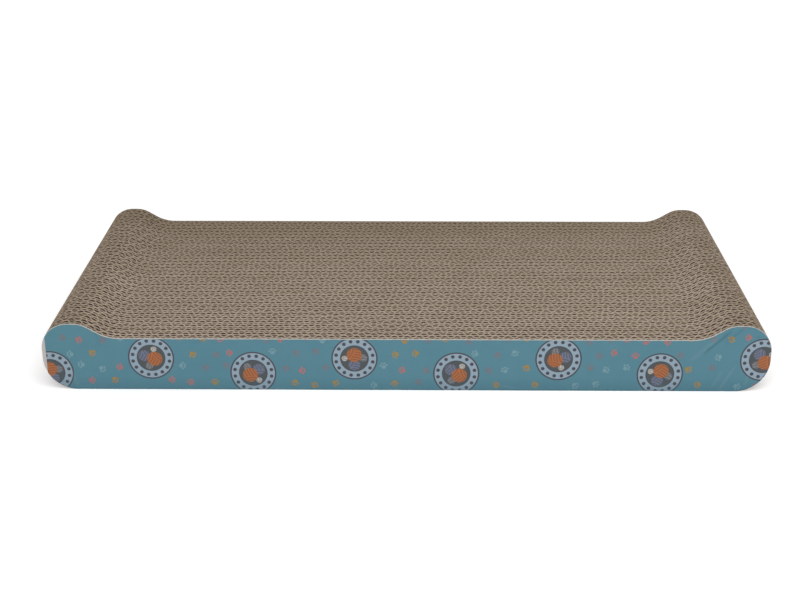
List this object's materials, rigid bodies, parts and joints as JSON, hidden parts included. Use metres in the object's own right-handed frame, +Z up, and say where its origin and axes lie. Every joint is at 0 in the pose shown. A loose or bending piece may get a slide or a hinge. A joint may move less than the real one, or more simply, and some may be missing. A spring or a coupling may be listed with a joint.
{
  "type": "cardboard cat scratcher",
  "caption": "Low cat scratching pad of corrugated boards glued side by side on edge, with a flat middle, raised rounded ends and a printed cover sheet on each long side.",
  "frame": {"origin": "middle of the flat base", "axes": "+X along the boards, +Y from the front cover to the back cover, +Z up"},
  "size_m": [0.45, 0.2214, 0.044],
  "materials": {
    "corrugated_board": "raw brown kraft paper with cut edges and open flutes",
    "printed_cover": "coated paper printed in teal with round badges and paw prints"
  },
  "bodies": {
    "root": {"front_cover": "printed_cover", "board_01": "corrugated_board", "board_02": "corrugated_board", "board_03": "corrugated_board", "board_04": "corrugated_board", "board_05": "corrugated_board", "board_06": "corrugated_board", "board_07": "corrugated_board", "board_08": "corrugated_board", "board_09": "corrugated_board", "board_10": "corrugated_board", "board_11": "corrugated_board", "board_12": "corrugated_board", "board_13": "corrugated_board", "board_14": "corrugated_board", "board_15": "corrugated_board", "board_16": "corrugated_board", "board_17": "corrugated_board", "board_18": "corrugated_board", "board_19": "corrugated_board", "board_20": "corrugated_board", "board_21": "corrugated_board", "board_22": "corrugated_board", "board_23": "corrugated_board", "board_24": "corrugated_board", "board_25": "corrugated_board", "board_26": "corrugated_board", "board_27": "corrugated_board", "board_28": "corrugated_board", "board_29": "corrugated_board", "board_30": "corrugated_board", "board_31": "corrugated_board", "board_32": "corrugated_board", "board_33": "corrugated_board", "board_34": "corrugated_board", "board_35": "corrugated_board", "back_cover": "printed_cover"}
  },
  "joints": []
}
